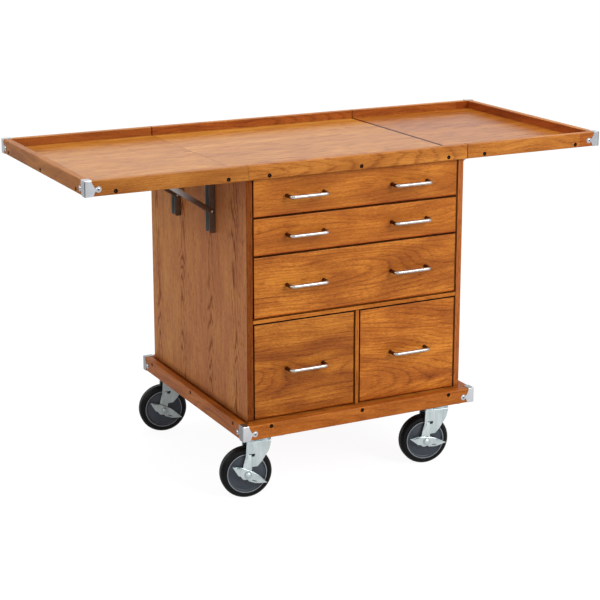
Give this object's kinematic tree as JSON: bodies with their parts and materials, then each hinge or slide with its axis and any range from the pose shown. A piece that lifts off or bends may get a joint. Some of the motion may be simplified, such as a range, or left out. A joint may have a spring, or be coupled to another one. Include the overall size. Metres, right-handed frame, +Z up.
{
  "type": "rolling drawer cabinet",
  "caption": "Oak rolling cabinet with drawers under a rimmed work top whose end leaves fold down on steel brackets, on swivel casters with side brakes.",
  "frame": {"origin": "centre of the base's footprint, on the floor under the wheels", "axes": "+X to the right along the work top, +Y from the drawer fronts to the back, +Z up"},
  "size_m": [1.3614, 0.6222, 0.8092],
  "materials": {
    "oak_case": "oiled oak, satin",
    "oak_front": "oiled oak, satin",
    "oak_top": "oiled oak, satin",
    "pale_wood": "clear lacquer, satin",
    "bright_nickel": "polished nickel plate",
    "dark_steel": "dark brown paint, satin",
    "zinc": "bright zinc plate",
    "wheel_grey": "moulded, satin",
    "tyre": "black rubber, matt"
  },
  "bodies": {
    "case": {"side_panels": "oak_case", "back_panel": "oak_case", "dividers": "oak_case", "drawer_runners": "pale_wood", "base_panel": "oak_case", "base_rails": "oak_case", "base_caps": "bright_nickel", "panel_screws": "dark_steel", "caster_pads": "pale_wood", "caster_plates": "zinc", "top_panel": "oak_top", "top_rails": "oak_case", "wall_channels": "dark_steel"},
    "drawer_1": {"front_1": "oak_front", "box_1": "pale_wood", "handles_1": "bright_nickel"},
    "drawer_2": {"front_2": "oak_front", "box_2": "pale_wood", "handles_2": "bright_nickel"},
    "drawer_3": {"front_3": "oak_front", "box_3": "pale_wood", "handles_3": "bright_nickel"},
    "drawer_4": {"front_4": "oak_front", "box_4": "pale_wood", "handle_4": "bright_nickel"},
    "drawer_5": {"front_5": "oak_front", "box_5": "pale_wood", "handle_5": "bright_nickel"},
    "leaf_left": {"leaf_panel_l": "oak_top", "leaf_rails_l": "oak_case", "leaf_caps_l": "bright_nickel", "leaf_screws_l": "dark_steel", "leaf_arms_l": "dark_steel"},
    "brace_left": {"brace_l": "dark_steel"},
    "leaf_right": {"leaf_panel_r": "oak_top", "leaf_rails_r": "oak_case", "leaf_caps_r": "bright_nickel", "leaf_screws_r": "dark_steel", "leaf_arms_r": "dark_steel"},
    "brace_right": {"brace_r": "dark_steel"},
    "swivel_fl": {"fork_fl": "zinc", "axle_fl": "bright_nickel"},
    "wheel_fl": {"wheel_core_fl": "wheel_grey", "tyre_fl": "tyre"},
    "lever_fl": {"brake_lever_fl": "zinc"},
    "swivel_fr": {"fork_fr": "zinc", "axle_fr": "bright_nickel"},
    "wheel_fr": {"wheel_core_fr": "wheel_grey", "tyre_fr": "tyre"},
    "lever_fr": {"brake_lever_fr": "zinc"},
    "swivel_bl": {"fork_bl": "zinc", "axle_bl": "bright_nickel"},
    "wheel_bl": {"wheel_core_bl": "wheel_grey", "tyre_bl": "tyre"},
    "lever_bl": {"brake_lever_bl": "zinc"},
    "swivel_br": {"fork_br": "zinc", "axle_br": "bright_nickel"},
    "wheel_br": {"wheel_core_br": "wheel_grey", "tyre_br": "tyre"},
    "lever_br": {"brake_lever_br": "zinc"}
  },
  "joints": [
    {"name": "drawer_1_slide", "type": "slide", "parent": "case", "child": "drawer_1", "axis": [0, -1, 0], "range_m": [0, 0.4]},
    {"name": "drawer_2_slide", "type": "slide", "parent": "case", "child": "drawer_2", "axis": [0, -1, 0], "range_m": [0, 0.4]},
    {"name": "drawer_3_slide", "type": "slide", "parent": "case", "child": "drawer_3", "axis": [0, -1, 0], "range_m": [0, 0.4]},
    {"name": "drawer_4_slide", "type": "slide", "parent": "case", "child": "drawer_4", "axis": [0, -1, 0], "range_m": [0, 0.4]},
    {"name": "drawer_5_slide", "type": "slide", "parent": "case", "child": "drawer_5", "axis": [0, -1, 0], "range_m": [0, 0.4]},
    {"name": "leaf_left_fold", "type": "hinge", "parent": "case", "child": "leaf_left", "pos_m": [-0.302, 0.006, 0.761], "axis": [0, -1, 0], "range_deg": [0, 90]},
    {"name": "brace_left_swing", "type": "hinge", "parent": "case", "child": "brace_left", "pos_m": [-0.2995, 0.006, 0.6675], "axis": [0, -1, 0], "range_deg": [0, 122.29]},
    {"name": "leaf_right_fold", "type": "hinge", "parent": "case", "child": "leaf_right", "pos_m": [0.302, 0.006, 0.761], "axis": [0, 1, 0], "range_deg": [0, 90]},
    {"name": "brace_right_swing", "type": "hinge", "parent": "case", "child": "brace_right", "pos_m": [0.2995, 0.006, 0.6675], "axis": [0, 1, 0], "range_deg": [0, 122.29]},
    {"name": "swivel_fl_turn", "type": "hinge", "parent": "case", "child": "swivel_fl", "pos_m": [-0.2455, -0.2553, 0.145], "axis": [0, 0, 1], "continuous": true},
    {"name": "wheel_fl_roll", "type": "hinge", "parent": "swivel_fl", "child": "wheel_fl", "pos_m": [-0.2828, -0.24805, 0.0625], "axis": [-0.1908, -0.9816, 0], "continuous": true},
    {"name": "lever_fl_rock", "type": "hinge", "parent": "swivel_fl", "child": "lever_fl", "pos_m": [-0.2828, -0.24805, 0.0625], "axis": [-0.1908, -0.9816, 0], "range_deg": [0, 19]},
    {"name": "swivel_fr_turn", "type": "hinge", "parent": "case", "child": "swivel_fr", "pos_m": [0.2455, -0.2553, 0.145], "axis": [0, 0, 1], "continuous": true},
    {"name": "wheel_fr_roll", "type": "hinge", "parent": "swivel_fr", "child": "wheel_fr", "pos_m": [0.2082, -0.24805, 0.0625], "axis": [-0.1908, -0.9816, 0], "continuous": true},
    {"name": "lever_fr_rock", "type": "hinge", "parent": "swivel_fr", "child": "lever_fr", "pos_m": [0.2082, -0.24805, 0.0625], "axis": [-0.1908, -0.9816, 0], "range_deg": [-19, 0]},
    {"name": "swivel_bl_turn", "type": "hinge", "parent": "case", "child": "swivel_bl", "pos_m": [-0.2455, 0.2553, 0.145], "axis": [0, 0, 1], "continuous": true},
    {"name": "wheel_bl_roll", "type": "hinge", "parent": "swivel_bl", "child": "wheel_bl", "pos_m": [-0.2828, 0.26255, 0.0625], "axis": [-0.1908, -0.9816, 0], "continuous": true},
    {"name": "lever_bl_rock", "type": "hinge", "parent": "swivel_bl", "child": "lever_bl", "pos_m": [-0.2828, 0.26255, 0.0625], "axis": [-0.1908, -0.9816, 0], "range_deg": [0, 19]},
    {"name": "swivel_br_turn", "type": "hinge", "parent": "case", "child": "swivel_br", "pos_m": [0.2455, 0.2553, 0.145], "axis": [0, 0, 1], "continuous": true},
    {"name": "wheel_br_roll", "type": "hinge", "parent": "swivel_br", "child": "wheel_br", "pos_m": [0.2082, 0.26255, 0.0625], "axis": [-0.1908, -0.9816, 0], "continuous": true},
    {"name": "lever_br_rock", "type": "hinge", "parent": "swivel_br", "child": "lever_br", "pos_m": [0.2082, 0.26255, 0.0625], "axis": [-0.1908, -0.9816, 0], "range_deg": [0, 19]}
  ],
  "couplings": [
    {"joint": "brace_left_swing", "follows": "leaf_left_fold", "ratio": 1.3577},
    {"joint": "brace_right_swing", "follows": "leaf_right_fold", "ratio": 1.3577}
  ]
}
